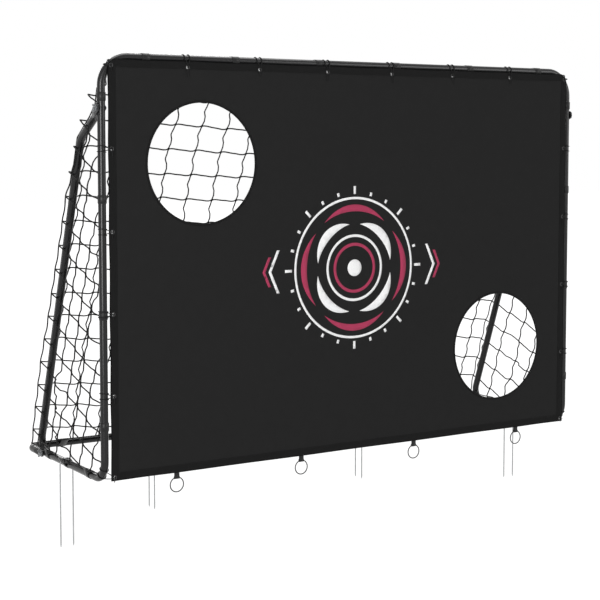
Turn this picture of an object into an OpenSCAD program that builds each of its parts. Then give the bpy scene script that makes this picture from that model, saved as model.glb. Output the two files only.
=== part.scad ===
// Lawn-game goal: a plug-together tube frame with a rope net behind it and a
// taut target sheet in front. The sheet has two round holes to shoot through.
// Millimetres. The origin is on the ground, midway between the posts and
// below the top bar. +X runs along the top bar, +Y goes back, +Z is up.

/* [Frame] */
// Distance between the axes of the two posts
frame_w = 2118; // [1700:1:2600]
// Height of the top bar's axis above the ground
frame_h = 1486; // [1300:1:1900]
// Distance from the posts' axes back to the rear bar's axis
frame_d = 690; // [650:1:900]
// Outer radius of every tube
tube_r = 14; // [12.5:0.5:15]
// Wall of every tube
tube_wall = 1.2; // [1:0.1:1.6]
// Centre-line radius of the two top corners
corner_bend_r = 100; // [70:1:140]
// Centre-line radius of the bend at each post's foot
foot_bend_r = 70; // [50:1:100]
// Centre-line radius of the rear bar's end bends
rear_bend_r = 50; // [40:1:60]
// How far outside the posts' axes the rear bar's ends run forward
rear_leg_out = 12; // [6:1:16]
// How much each face of a tube's wall draws in where the tube is bent
bend_draw = 0.05; // [0.03:0.01:0.1]

/* [Tube joints] */
// Length that a reduced tube end goes into the next tube
spigot_l = 55; // [48:1:80]
// Radial gap between a reduced end and the tube it goes into
spigot_gap = 0.25; // [0.15:0.05:0.4]
// How far below the top bar's axis each post ends
post_seam_drop = 205; // [195:1:230]
// How far the top corners reach along the top bar
corner_reach = 152; // [145:1:260]
// Height of the joint between each post and its foot tube
foot_seam_h = 190; // [150:1:300]
// How far in front of the rear bar the foot tube joins the stay
base_seam_d = 250; // [240:1:280]

/* [Stays] */
// How far below the top bar's axis the stay is bolted to the post
stay_bolt_drop = 176; // [170:1:190]
// How far behind the bolt the stay's upper bend is
stay_bend_back = 179; // [150:1:200]
// How far below the bolt the stay's upper bend is
stay_bend_drop = 105; // [90:1:130]
// How far in front of the rear bar the stay's line meets the base tube's
stay_foot_d = 88; // [80:1:95]
// Centre-line radius of the stay's upper bend
stay_bend_r = 100; // [60:1:120]
// Centre-line radius of the stay's lower bend
stay_foot_r = 50; // [42:1:55]
// Height of the snap button on the stay
snap_h = 633; // [500:1:800]

/* [Flattened ends] */
// Thickness of the flattened tube ends
eye_t = 5; // [4:0.5:7]
// Radius of the stay's rounded eye
stay_eye_r = 17; // [15:0.5:19]
// Length of the stay's flat part from the bolt to where it swells
stay_eye_l = 26; // [22:1:30]
// Length of the rear bar's flat part from the bolt to where it swells
rear_eye_l = 32; // [30:1:36]
// How far in front of the rear bar the rear bolts are
rear_bolt_d = 145; // [140:1:150]
// Length over which a flattened end swells to the full tube
swell_l = 32; // [26:1:40]
// How much further than the flat part's edges the rounded eye reaches
eye_shoulder = 0.5; // [0.3:0.1:1]

/* [Bolts and wing nuts] */
// Radius of the bolts
bolt_r = 3; // [2.5:0.5:4]
// Radius of the bolts' domed heads
bolt_head_r = 8; // [6.5:0.5:9]
// Height of the domed heads
bolt_head_h = 4; // [3:0.5:5]
// Radial gap of the bolts in the tubes
bolt_gap = 0.35; // [0.2:0.05:0.5]
// Radial gap of the wing nuts' bores on the bolts
thread_gap = 0.08; // [0.05:0.01:0.1]
// Thickness of the washers
washer_t = 1.2; // [1:0.1:2]
// Radius of the washers
washer_r = 9; // [7:0.5:11]
// Height of the wing nuts' hubs
nut_h = 7; // [5:0.5:9]
// Radius of the wing nuts' hubs
nut_r = 5.5; // [5:0.5:6.5]
// Radius that the wings reach
wing_r = 13.5; // [11:0.5:14]
// Thickness of the wings
wing_t = 2.4; // [1.6:0.2:3]
// How far the wings stand above the hub
wing_rise = 6; // [4:0.5:8]
// Radius of the wings' rounded tips
wing_tip_r = 3.8; // [3:0.1:4.5]
// Height at which the wings leave the hub
wing_root_z = 1.4; // [1:0.1:2]
// Height of the wings' roots on the hub
wing_root_h = 4.9; // [3:0.1:5]
// How far the bolts stand out of the wing nuts
bolt_tail = 4; // [2:0.5:8]

/* [Snap buttons] */
// Radius of the snap buttons
snap_r = 4; // [3:0.5:5]
// Radial gap round the snap buttons
snap_gap = 0.3; // [0.2:0.05:0.5]
// How far the snap buttons stand out of the tube, and how far they press in
snap_travel = 3.5; // [2.5:0.5:4]
// Thickness of the leaf spring behind the button
leaf_t = 1; // [0.8:0.1:1.4]
// Length of the leaf spring
leaf_l = 34; // [26:1:38]
// Length of the tube end below the snap button
snap_end_l = 26; // [20:1:32]

/* [Target sheet] */
// Distance from the posts' axes to the sheet's side edges
sheet_side_gap = 16.5; // [14:0.5:40]
// Distance from the top bar's axis down to the sheet's top edge
sheet_top_gap = 7; // [6:1:40]
// Height of the sheet's bottom edge above the ground
sheet_ground_gap = 14; // [8:1:60]
// Clear space between the tubes and the back of the sheet
sheet_clear = 1; // [0.5:0.25:3]
// Thickness of the sheet
sheet_t = 3; // [2:0.5:5]
// Width of the folded hem round the sheet
hem_w = 29; // [24:1:40]
// How much the hem stands proud of each face
hem_rise = 0.5; // [0.3:0.1:1]
// Radius of the two target holes
hole_r = 215; // [150:1:240]
// Distance from a side edge to the nearer hole's centre
hole_side = 363; // [300:1:420]
// Distance from the sheet's top edge to the upper hole's centre
hole_drop = 361; // [300:1:400]
// Distance from the sheet's bottom edge to the lower hole's centre
hole_rise = 350; // [300:1:400]

/* [Eyelets and ties] */
// Number of eyelets along the top edge, corners included
top_eyelets = 8; // [6:1:12]
// Number of eyelets along each side edge, corners included
side_eyelets = 6; // [4:1:9]
// Distance from the sheet's side and bottom edges to the eyelets' centres
eyelet_inset = 12.5; // [11:0.5:14]
// Distance from the sheet's top edge to the eyelets' centres
eyelet_drop = 23; // [11:1:26]
// Radius of the hole through an eyelet
eyelet_r = 4.5; // [3.5:0.5:5]
// Width of an eyelet's flange
eyelet_flange = 3.5; // [2.5:0.5:4]
// Thickness of an eyelet's metal
eyelet_t = 0.4; // [0.3:0.1:0.6]
// Radius of the tie cord
cord_r = 1.25; // [1:0.25:1.5]
// Distance between a tie's two turns round the tube
tie_pitch = 20; // [14:1:30]
// Gap between a tie's turns and the tube
tie_gap = 0.15; // [0.1:0.05:0.4]
// Radius of the knots' lobes
knot_r = 2.2; // [1.8:0.1:2.4]
// How far past a lobe's middle the cord is thin again
knot_l = 3.3; // [3:0.1:4]
// Half the gap between a tie's two cords
cord_part = 0.45; // [0.3:0.05:0.6]

/* [Bottom rings] */
// Number of ring tabs along the bottom edge
rings = 4; // [2:1:8]
// Distance from the sheet's side edges to the end tabs' centres
ring_inset = 255; // [150:1:400]
// Radius of a ring to the middle of its wire
ring_r = 27; // [20:1:35]
// Radius of the ring's wire
ring_wire_r = 1.6; // [1:0.2:2]
// Width of the tabs
tab_w = 22; // [16:1:30]
// How far the tabs' loops hang below the sheet, to the hinge line
tab_drop = 17; // [12:1:30]
// Thickness of the tabs' webbing
tab_t = 1.5; // [1:0.25:2]
// Clear space round the ring's wire inside the loop
loop_gap = 0.4; // [0.3:0.1:0.8]

/* [Net] */
// Distance from the posts' axes out to the side nets
net_side = 30; // [29:0.5:34]
// Distance from the rear bar's axis forward to the net's bottom edge
net_front = 40; // [38:1:50]
// Height of the net's bottom edge above the ground
net_bottom = 34; // [33:1:60]
// Where the net passes behind the stays' bends, measured back from them
net_bend_back = 36; // [34:1:60]
// Where the net passes behind the stays' bends, measured down from them
net_bend_down = 26.25; // [20:0.25:40]
// Height and depth of a mesh
mesh = 104; // [95:1:160]
// Width of the back net's meshes
net_column = 120; // [115:1:160]
// Width and thickness of the twine
twine = 3; // [2:0.5:4]
// Gap between the net's edges and what they run along
net_gap = 3; // [2:0.5:6]
// Gap between the back net's two panels
net_seam = 0.3; // [0.2:0.1:1]

/* [Net straps] */
// Width of the straps that hold the net to the tubes
strap_w = 30; // [20:1:34]
// Thickness of the straps
strap_t = 1.5; // [1:0.25:2]
// Number of straps along the top bar
top_straps = 6; // [3:1:9]
// Distance from the posts' axes to the end straps on the top bar
top_strap_inset = 166; // [165:1:300]
// Number of straps along the rear bar
rear_straps = 6; // [3:1:9]
// Distance from the posts' axes to the end straps on the rear bar
rear_strap_inset = 121; // [100:1:300]
// Heights of the straps on the posts, as distances below the top bar's axis
post_strap_drops = [137, 489, 891, 1281]; // [130:1:1285]
// Distances of the straps on the base tubes behind the posts
base_strap_backs = [125, 325]; // [110:1:330]
// Distance of the last strap on the base tubes in front of the rear bar
rear_strap_d = 195; // [190:1:200]

/* [Ground stakes] */
// Radius of the stakes' wire
stake_r = 2.5; // [2:0.25:3]
// Distance between the axes of a stake's legs
stake_w = 50; // [46:1:56]
// Depth of the stakes' tips below the ground
stake_depth = 302; // [150:1:400]
// Length of the stakes' pointed tips
stake_tip_l = 10; // [6:1:16]
// Radius of the points' blunt ends
stake_tip_r = 0.8; // [0.5:0.1:1]
// Gap between a stake's crown and the tube under it
stake_gap = 0.3; // [0.2:0.1:0.6]
// Distance of the side stakes behind the posts
side_stake_back = 346; // [340:1:380]
// Distance of the left rear stake from the left post's axis
rear_stake_left = 515; // [500:1:540]
// Distance of the right rear stake from the right post's axis
rear_stake_right = 578; // [560:1:600]

/* [Hidden] */
$fn = 48;
CUT = 1;
SIDES = ["left", "right"];

// Colours
TUBE_C = [0.22, 0.22, 0.23];
STEEL_C = [0.72, 0.73, 0.74];
SHEET_C = [0.14, 0.14, 0.14];
CORD_C = [0.07, 0.07, 0.07];
STRAP_C = [0.11, 0.11, 0.11];

// Frame
half_w = frame_w / 2;
bore_r = tube_r - tube_wall;
spigot_r = bore_r - spigot_gap;
neck_t = 2;
bend_lap = 1;
bolt_hole_r = bolt_r + bolt_gap;

// The left side frame in its own plane: first axis back, second axis up
seam_z = frame_h - post_seam_drop;
stay_bolt_z = frame_h - stay_bolt_drop;
stay_bend = [stay_bend_back, stay_bolt_z - stay_bend_drop];
stay_foot = [frame_d - stay_foot_d, tube_r];
stay_top = [0, stay_bolt_z];
base_seam_y = frame_d - base_seam_d;
upper_dir = unit(stay_bend - stay_top);
lower_dir = unit(stay_foot - stay_bend);
upper_angle = atan2(upper_dir[1], upper_dir[0]);
lower_angle = atan2(lower_dir[1], lower_dir[0]);
snap = stay_bend + lower_dir * (stay_bend[1] - snap_h) / -lower_dir[1];
snap_seam = snap + lower_dir * snap_end_l;
rear_bolt = [frame_d - rear_bolt_d, tube_r];

// Sheet
sheet_half = half_w - sheet_side_gap;
sheet_top = frame_h - sheet_top_gap;
sheet_h = sheet_top - sheet_ground_gap;
sheet_back_y = -(tube_r + sheet_clear + hem_rise);
sheet_mid_y = sheet_back_y - sheet_t / 2;
hem_front_y = sheet_back_y - sheet_t - hem_rise;
sheet_holes = [
    [hole_side - sheet_half, sheet_top - hole_drop],
    [sheet_half - hole_side, sheet_ground_gap + hole_rise]
];
eyelet_half = sheet_half - eyelet_inset;
eyelet_top = sheet_top - eyelet_drop;
eyelet_low = sheet_ground_gap + eyelet_inset;
eyelet_out_r = eyelet_r + eyelet_flange;
top_eyelet_xs = spread(-eyelet_half, eyelet_half, top_eyelets);
side_eyelet_zs = spread(eyelet_low, eyelet_top, side_eyelets);
knot_y = hem_front_y - eyelet_t - knot_r - tie_gap;
edge_y = hem_front_y - cord_r - tie_gap;

// Rings: the wire sags away from the hinge line over the tab's half width
ring_sag = ring_r - sqrt(ring_r * ring_r - tab_w * tab_w / 4);
loop_r = ring_wire_r + ring_sag / 2 + loop_gap;
ring_pivot_z = sheet_ground_gap - tab_drop;
ring_z = ring_pivot_z + ring_sag / 2 - ring_r;
ring_xs = spread(ring_inset - sheet_half, sheet_half - ring_inset, rings);

// Net, as points in the side plane
net_top = [tube_r + net_gap, frame_h + tube_r];
net_bend = [stay_bend[0] + net_bend_back, stay_bend[1] - net_bend_down];
net_low = [frame_d - net_front, net_bottom];
net_front_y = tube_r + net_gap;
net_x = half_w + net_side;
net_corner_z = frame_h - corner_bend_r;

// Stakes
crown_r = stake_w / 2;
crown_z = 2 * tube_r + stake_gap + stake_r - crown_r;

function unit(v) = v / norm(v);
function spread(a, b, n) = [for (i = [0 : n - 1]) a + (b - a) * i / (n - 1)];
function turn(a, b) = ((b - a + 540) % 360) - 180;
function seg_angle(p, q) = atan2(q[1] - p[1], q[0] - p[0]);
function bend_at(pts, i) = turn(seg_angle(pts[i - 1], pts[i]), seg_angle(pts[i], pts[i + 1]));
function trim(pts, i, radii) =
    (i == 0 || i == len(pts) - 1) ? 0 : radii[i - 1] * tan(abs(bend_at(pts, i)) / 2);

// Places: a shape drawn in a flat plane, moved to the side, front or ground plane
module in_side_plane(x = 0) { translate([x, 0, 0]) rotate([90, 0, 90]) children(); }
module in_front_plane(y = 0) { translate([0, y, 0]) rotate([90, 0, 0]) children(); }
module on_side(side) {
    if (side == "left") { translate([-half_w, 0, 0]) children(); }
    else { mirror([1, 0, 0]) translate([-half_w, 0, 0]) children(); }
}

// Tubes
module tube_section(r = tube_r, wall = tube_wall) {
    difference() {
        circle(r);
        circle(r - wall);
    }
}
module run(p, q, r = tube_r, wall = tube_wall) {
    translate(p) rotate([0, 0, seg_angle(p, q)]) rotate([0, 90, 0])
        linear_extrude(norm(q - p)) tube_section(r, wall);
}
module bend(c, start, angle, radius) {
    translate(c) rotate([0, 0, start]) rotate_extrude(angle = angle)
        translate([radius, 0]) tube_section(tube_r - bend_draw, tube_wall - 2 * bend_draw);
}
// A tube along flat points, with a round bend of each given radius between
// them. The straight parts lap the ends of the bends, whose walls are thinner
module bent_tube(pts, radii) {
    n = len(pts) - 1;
    for (i = [0 : n - 1]) {
        d = unit(pts[i + 1] - pts[i]);
        from = i == 0 ? 0 : trim(pts, i, radii) - bend_lap;
        to = i == n - 1 ? 0 : trim(pts, i + 1, radii) - bend_lap;
        run(pts[i] + d * from, pts[i + 1] - d * to);
    }
    for (i = [1 : 1 : n - 1]) {
        d = unit(pts[i] - pts[i - 1]);
        a = bend_at(pts, i);
        side = sign(a);
        start = pts[i] - d * trim(pts, i, radii);
        centre = start + side * radii[i - 1] * [-d[1], d[0]];
        from = seg_angle(centre, start);
        bend(centre, side > 0 ? from : from + a, abs(a), radii[i - 1]);
    }
}
// The reduced end of a tube: a neck at the seam and a thinner tube beyond it
module spigot(seam, toward) {
    d = unit(toward);
    run(seam - d * neck_t, seam, tube_r - tube_wall / 2, tube_r - tube_wall / 2 - bore_r + spigot_gap
        + tube_wall);
    run(seam - d * neck_t, seam + d * spigot_l, spigot_r, tube_wall);
}
// A round bar or hole along X at a point of the side plane
module cross_bar(x0, x1, p, r) {
    translate([x0, p[0], p[1]]) rotate([0, 90, 0]) cylinder(h = x1 - x0, r = r);
}

module corner_tube() {
    color(TUBE_C) difference() {
        in_front_plane() bent_tube(
            [[0, seam_z], [0, frame_h], [corner_reach, frame_h]], [corner_bend_r]);
        cross_bar(-tube_r - CUT, tube_r + CUT, stay_top, bolt_hole_r);
    }
}
module top_bar_left() {
    color(TUBE_C) in_front_plane() {
        a = [corner_reach - half_w, frame_h];
        b = [0, frame_h];
        run(a, b);
        spigot(a, [-1, 0]);
        spigot(b, [1, 0]);
    }
}
module top_bar_right() {
    color(TUBE_C) in_front_plane() {
        a = [half_w - corner_reach, frame_h];
        run([0, frame_h], a);
        spigot(a, [1, 0]);
    }
}
module post() {
    color(TUBE_C) difference() {
        in_front_plane() {
            run([0, foot_seam_h], [0, seam_z]);
            spigot([0, seam_z], [0, 1]);
        }
        cross_bar(-tube_r - CUT, tube_r + CUT, stay_top, bolt_hole_r);
    }
}
module foot_tube() {
    color(TUBE_C) in_side_plane() {
        bent_tube([[0, foot_seam_h], [0, tube_r], [base_seam_y, tube_r]], [foot_bend_r]);
        spigot([0, foot_seam_h], [0, 1]);
        spigot([base_seam_y, tube_r], [1, 0]);
    }
}
module stay_lower() {
    color(TUBE_C) difference() {
        in_side_plane() {
            bent_tube([[base_seam_y, tube_r], stay_foot, snap_seam], [stay_foot_r]);
            spigot(snap_seam, -lower_dir);
        }
        cross_bar(-tube_r - CUT, tube_r + CUT, rear_bolt, bolt_hole_r);
        cross_bar(-tube_r - CUT, 0, snap, snap_r + snap_gap);
    }
}
// A flattened tube end that laps the outside of another tube, drawn along +Y
// from the bolt: a round eye, a flat part and a swell to a full tube, whose
// axis is the given distance outside the bolted tube's
module flat_end(radius, flat_l, out) {
    eye_x = -tube_r - eye_t;
    half = radius - eye_shoulder;
    difference() {
        union() {
            cross_bar(eye_x, -tube_r, [0, 0], radius);
            translate([eye_x, 0, -half]) cube([eye_t, flat_l, 2 * half]);
            hull() {
                translate([eye_x, flat_l - neck_t, -half]) cube([eye_t, neck_t, 2 * half]);
                translate([-out, flat_l + swell_l, 0]) rotate([90, 0, 0])
                    cylinder(h = neck_t, r = tube_r, $fn = 32);
            }
        }
        cross_bar(eye_x - CUT, CUT - tube_r, [0, 0], bolt_hole_r);
    }
}
// Drawn along its own upper part, which lies on +Y from the bolt
module stay_upper() {
    upper_l = norm(stay_bend - stay_top);
    fall = lower_angle - upper_angle;
    down = [cos(fall), sin(fall)];
    button = [upper_l, 0] + norm(snap - stay_bend) * down;
    color(TUBE_C) translate([0, stay_top[0], stay_top[1]]) rotate([upper_angle, 0, 0]) {
        difference() {
            in_side_plane() bent_tube(
                [[stay_eye_l + swell_l, 0], [upper_l, 0],
                 [upper_l, 0] + norm(snap_seam - stay_bend) * down],
                [stay_bend_r]);
            cross_bar(-tube_r - CUT, 0, button, snap_r + snap_gap);
        }
        flat_end(stay_eye_r, stay_eye_l, 0);
    }
}
module rear_bar(side) {
    start_y = rear_bolt[0] + rear_eye_l + swell_l;
    color(TUBE_C) {
        on_side(side) {
            translate([0, 0, tube_r]) bent_tube(
                [[half_w, frame_d], [-rear_leg_out, frame_d], [-rear_leg_out, start_y]],
                [rear_bend_r]);
            translate([0, rear_bolt[0], rear_bolt[1]])
                flat_end(tube_r, rear_eye_l, rear_leg_out);
        }
        if (side == "left") {
            translate([0, 0, tube_r]) spigot([0, frame_d], [1, 0]);
        }
    }
}

// Bolts, washers and wing nuts: drawn along the bolt, from the head's seat at
// zero outward, and laid along -X at the given point of the side plane
module on_bolt(head_x, p) {
    translate([head_x, p[0], p[1]]) rotate([0, -90, 0]) children();
}
module bolt(grip) {
    cylinder(h = grip + washer_t + nut_h + bolt_tail, r = bolt_r);
    translate([0, 0, -washer_t]) rotate_extrude() difference() {
        cap_r = (bolt_head_r * bolt_head_r + bolt_head_h * bolt_head_h) / (2 * bolt_head_h);
        translate([0, cap_r - bolt_head_h]) circle(cap_r);
        translate([-2 * cap_r, 0]) square([4 * cap_r, 4 * cap_r]);
        translate([-4 * cap_r, -2 * cap_r]) square([4 * cap_r, 4 * cap_r]);
    }
    translate([0, 0, -washer_t]) cylinder(h = washer_t, r = bolt_r);
}
module washer(z) {
    translate([0, 0, z]) difference() {
        cylinder(h = washer_t, r = washer_r);
        translate([0, 0, -CUT]) cylinder(h = washer_t + 2 * CUT, r = bolt_r + thread_gap);
    }
}
module wing_nut(grip) {
    translate([0, 0, grip + washer_t]) difference() {
        union() {
            cylinder(h = nut_h, r = nut_r);
            rotate([90, 0, 0]) translate([0, 0, -wing_t / 2]) linear_extrude(wing_t)
                for (m = [0, 1]) mirror([m, 0]) wing_outline();
        }
        translate([0, 0, -CUT]) cylinder(h = nut_h + wing_rise + 2 * CUT, r = bolt_r + thread_gap);
    }
}
module wing_outline() {
    hull() {
        translate([wing_r - wing_tip_r, nut_h + wing_rise - wing_tip_r]) circle(wing_tip_r);
        translate([nut_r - wing_t, wing_root_z]) square([wing_t, wing_root_h]);
        translate([nut_r, wing_root_z]) square([wing_tip_r, wing_root_z]);
    }
}
grip = 2 * tube_r + eye_t;
module bolt_at(p) { color(STEEL_C) on_bolt(tube_r, p) bolt(grip); }
module wing_nut_at(p) { color(STEEL_C) on_bolt(tube_r, p) wing_nut(grip); }
module washers() {
    color(STEEL_C) for (side = SIDES, p = [stay_top, rear_bolt], z = [-washer_t, grip])
        on_side(side) on_bolt(tube_r, p) washer(z);
}
module snap_button() {
    inside_r = spigot_r - tube_wall;
    leaf_x = snap_gap - sqrt(inside_r * inside_r - snap_r * snap_r);
    color(STEEL_C) {
        cross_bar(-tube_r - snap_travel, leaf_x + leaf_t / 2, snap, snap_r);
        translate([leaf_x, snap[0], snap[1]]) rotate([lower_angle + 90, 0, 0])
            translate([0, -snap_r, -snap_r]) cube([leaf_t, 2 * snap_r, leaf_l]);
    }
}

// Target sheet
module target_sheet() {
    color(SHEET_C) difference() {
        union() {
            in_front_plane(sheet_back_y) sheet_panel(sheet_t, 0);
            in_front_plane(sheet_back_y + hem_rise) difference() {
                sheet_panel(sheet_t + 2 * hem_rise, 0);
                translate([0, 0, -CUT]) sheet_panel(sheet_t + 2 * hem_rise + 2 * CUT, hem_w);
            }
        }
        in_front_plane(-tube_r) for (p = sheet_holes)
            translate(p) cylinder(h = sheet_t + 2 * tube_r, r = hole_r);
        in_front_plane(-tube_r) for (p = eyelet_places())
            translate(p) cylinder(h = sheet_t + 2 * tube_r, r = eyelet_r + 2 * eyelet_t);
    }
}
module sheet_panel(t, inset) {
    translate([inset - sheet_half, sheet_ground_gap + inset, 0])
        cube([2 * (sheet_half - inset), sheet_h - 2 * inset, t]);
}
function eyelet_places() = concat(
    [for (x = top_eyelet_xs) [x, eyelet_top]],
    [for (s = [-1, 1], i = [0 : side_eyelets - 2]) [s * eyelet_half, side_eyelet_zs[i]]]
);
module eyelets() {
    grip = sheet_t + 2 * hem_rise;
    color(STEEL_C) in_front_plane(sheet_back_y + hem_rise) for (p = eyelet_places()) translate(p)
        difference() {
            union() {
                cylinder(h = grip, r = eyelet_r + eyelet_t);
                for (z = [-eyelet_t, grip]) translate([0, 0, z])
                    cylinder(h = eyelet_t, r = eyelet_out_r);
            }
            translate([0, 0, -CUT]) cylinder(h = grip + 2 * CUT, r = eyelet_r);
        }
}

// A cord through points, swept as one closed tube of flat faces. Each loop is
// square to the path there and turned as little as possible from the last one
CORD_SIDES = 6;
UP = [0, 0, 1];
ALONG = [1, 0, 0];
STEEP = 0.9;
function path_dir(pts, i) = unit(pts[min(i + 1, len(pts) - 1)] - pts[max(i - 1, 0)]);
function off_line(v, t) = unit(v - (v * t) * t);
module cord(pts, radii) {
    n = len(pts);
    first = path_dir(pts, 0);
    across = [for (i = 0, u = off_line(abs(first * UP) < STEEP ? UP : ALONG, first);
        i < n;
        i = i + 1, u = off_line(u, path_dir(pts, min(i, n - 1)))) u];
    loops = [for (i = [0 : n - 1], k = [0 : CORD_SIDES - 1])
        let (t = path_dir(pts, i), u = across[i], a = 360 * k / CORD_SIDES)
        pts[i] + radii[i] * (cos(a) * u + sin(a) * cross(t, u))];
    sides = [for (i = [0 : n - 2], k = [0 : CORD_SIDES - 1])
        let (m = (k + 1) % CORD_SIDES, lo = i * CORD_SIDES, hi = lo + CORD_SIDES)
        each [[lo + k, hi + k, hi + m], [lo + k, hi + m, lo + m]]];
    ends = [for (k = [1 : CORD_SIDES - 2]) let (top = (n - 1) * CORD_SIDES)
        each [[0, k, k + 1], [top, top + k + 1, top + k]]];
    polyhedron(loops, concat(sides, ends));
}

// A tie: two cords that come out of an eyelet, each swollen into a lobe of the
// knot. Each goes over the sheet's edge and round the tube, and its end tucks
// in. A turn has its middle on the tube's axis and the tube's direction there
TURN_STEPS = 14;
TURN_FROM = 0;
TURN_TO = 318;
function turn_r() = (tube_r + tie_gap + cord_r) / cos((TURN_TO - TURN_FROM) / TURN_STEPS / 2);
function turn_u(turn) = off_line([0, -1, 0], turn[1]);
function turn_v(turn, eyelet) = let (v = cross(turn[1], turn_u(turn)))
    v * sign(v * (turn[0] - eyelet));
function turn_path(turn, eyelet) = [for (i = [0 : TURN_STEPS])
    let (a = TURN_FROM + (TURN_TO - TURN_FROM) * i / TURN_STEPS)
    turn[0] + turn_r() * (cos(a) * turn_u(turn) + sin(a) * turn_v(turn, eyelet))];
// How far along the way from p to the eyelet the sheet's side or top edge is
function edge_share(p, e, side, top) = max(
    p[0] < side ? (side - p[0]) / (e[0] - p[0]) : 0,
    p[2] > top ? (p[2] - top) / (p[2] - e[2]) : 0);
module tie(eyelet, turns, side = sheet_side_gap, top = sheet_top) {
    apart = unit(turns[1][0] - turns[0][0]);
    split = unit([apart[0], 0, apart[2]]);
    for (i = [0, 1]) {
        way = (2 * i - 1) * split;
        out = [eyelet[0], 0, eyelet[1]];
        knot = out + [0, knot_y, 0] + way * (knot_r + cord_part);
        round = turn_path(turns[i], out);
        over = round[0] + (knot - round[0])
            * edge_share(round[0], knot, side - cord_r, top + cord_r);
        cord(concat(
            [out + [0, sheet_mid_y, 0] + way * (cord_r + cord_part),
             out + [0, hem_front_y - eyelet_t, 0] + way * (cord_r + cord_part),
             knot,
             knot + knot_l * unit([over[0], knot_y, over[2]] - knot),
             [over[0], edge_y, over[2]]],
            round), concat([cord_r, cord_r, knot_r, cord_r, cord_r], [for (p = round) cord_r]));
    }
}
// A tie on a straight tube along Z, with the sheet's edge at X = gap. Its turns
// are at the given heights over the eyelet
module straight_tie(gap, inset, heights = [-tie_pitch / 2, tie_pitch / 2]) {
    tie([gap + inset, 0], [for (z = heights) [[0, 0, z], [0, 0, 1]]], gap);
}
module ties_top() {
    color(CORD_C) for (i = [1 : top_eyelets - 2])
        translate([top_eyelet_xs[i], 0, frame_h]) rotate([0, 90, 0])
            straight_tie(sheet_top_gap, eyelet_drop);
}
// Where round the bends the corner ties' turns are: just clear of the sheet
corner_tie_angles = [10, 80];
foot_tie_angles = [50, 25];
// A tie beside a strap has its turns above and below the strap
function beside(z) = [for (drop = post_strap_drops)
    let (s = frame_h - drop - z)
    if (abs(s) < (strap_w + tie_pitch) / 2 + 2 * cord_r) s];
module side_ties() {
    inset = half_w - eyelet_half;
    corner = [corner_bend_r, 0, frame_h - corner_bend_r];
    foot = [0, foot_bend_r, tube_r + foot_bend_r];
    clear = strap_w / 2 + 2 * cord_r;
    color(CORD_C) {
        for (i = [1 : side_eyelets - 2]) {
            z = side_eyelet_zs[i];
            near = beside(z);
            translate([0, 0, z]) straight_tie(sheet_side_gap, eyelet_inset,
                len(near) > 0 ? [near[0] - clear, near[0] + clear]
                    : [-tie_pitch / 2, tie_pitch / 2]);
        }
        tie([inset, eyelet_top], [for (a = corner_tie_angles)
            [corner + corner_bend_r * [-cos(a), 0, sin(a)], [sin(a), 0, cos(a)]]]);
        tie([inset, eyelet_low], [for (a = foot_tie_angles)
            [foot - foot_bend_r * [0, cos(a), sin(a)], [0, -sin(a), cos(a)]]]);
    }
}
// Bottom tabs and rings
module ring_tabs() {
    color(STRAP_C) for (x = ring_xs) translate([x - tab_w / 2, sheet_mid_y, ring_pivot_z])
        rotate([90, 0, 90]) linear_extrude(tab_w) difference() {
            union() {
                circle(loop_r + tab_t);
                translate([-tab_t, 0]) square([2 * tab_t, tab_drop]);
            }
            circle(loop_r);
        }
}
module ring(i) {
    color(CORD_C) translate([ring_xs[i], sheet_mid_y, ring_z]) rotate([90, 0, 0])
        rotate_extrude() translate([ring_r, 0]) circle(ring_wire_r);
}

// Nets: thin sheets whose gaps are cut out between straight runs of twine
function left_of(p, q) = unit([p[1] - q[1], q[0] - p[0]]);
// A counterclockwise outline moved in by the twine's width
function inset(pts) = [for (i = [0 : len(pts) - 1])
    let (n = len(pts),
         a = left_of(pts[(i + n - 1) % n], pts[i]),
         b = left_of(pts[i], pts[(i + 1) % n]))
    pts[i] + twine * (a + b) / (1 + a * b)];
module gaps(outline, columns, rows) {
    far = frame_w + frame_h;
    translate([0, 0, -CUT]) linear_extrude(twine + 2 * CUT) difference() {
        polygon(inset(outline));
        for (x = columns) translate([x - twine / 2, -far]) square([twine, 2 * far]);
        for (y = rows) translate([-far, y - twine / 2]) square([2 * far, twine]);
    }
}
// Where the runs of twine lie that part a length into even meshes
function runs(from, to, want) = let (n = max(1, round((to - from) / want)))
    [for (i = [1 : 1 : n - 1]) from + (to - from) * i / n];

net_lower_l = norm(net_bend - net_low);
net_upper_l = norm(net_top - net_bend);
net_cut = corner_bend_r + net_side;
module on_panel(low, high) {
    translate([0, low[0], low[1]]) rotate([seg_angle(low, high), 0, 0]) children();
}
// The back net hangs behind the stays' bends in two flat panels, which end a
// little short of each other so that their thickness doesn't meet in the fold
net_fold = turn(seg_angle(net_low, net_bend), seg_angle(net_bend, net_top));
net_short = twine * tan(abs(net_fold) / 2) + net_seam / 2;
module net_panel(outline, rows) {
    difference() {
        linear_extrude(twine) polygon(outline);
        gaps(outline, runs(-net_x, net_x, net_column), rows);
    }
}
module net_back_lower() {
    top = net_lower_l - net_short;
    color(CORD_C) on_panel(net_low, net_bend)
        net_panel([[-net_x, 0], [net_x, 0], [net_x, top], [-net_x, top]],
            runs(0, top, mesh));
}
module net_back_upper() {
    cut = net_upper_l - net_cut;
    color(CORD_C) on_panel(net_bend, net_top)
        net_panel([[-net_x, net_short], [net_x, net_short], [net_x, cut],
            [net_x - net_cut, net_upper_l], [net_cut - net_x, net_upper_l], [-net_x, cut]],
            runs(net_short, net_upper_l, mesh));
}
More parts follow.
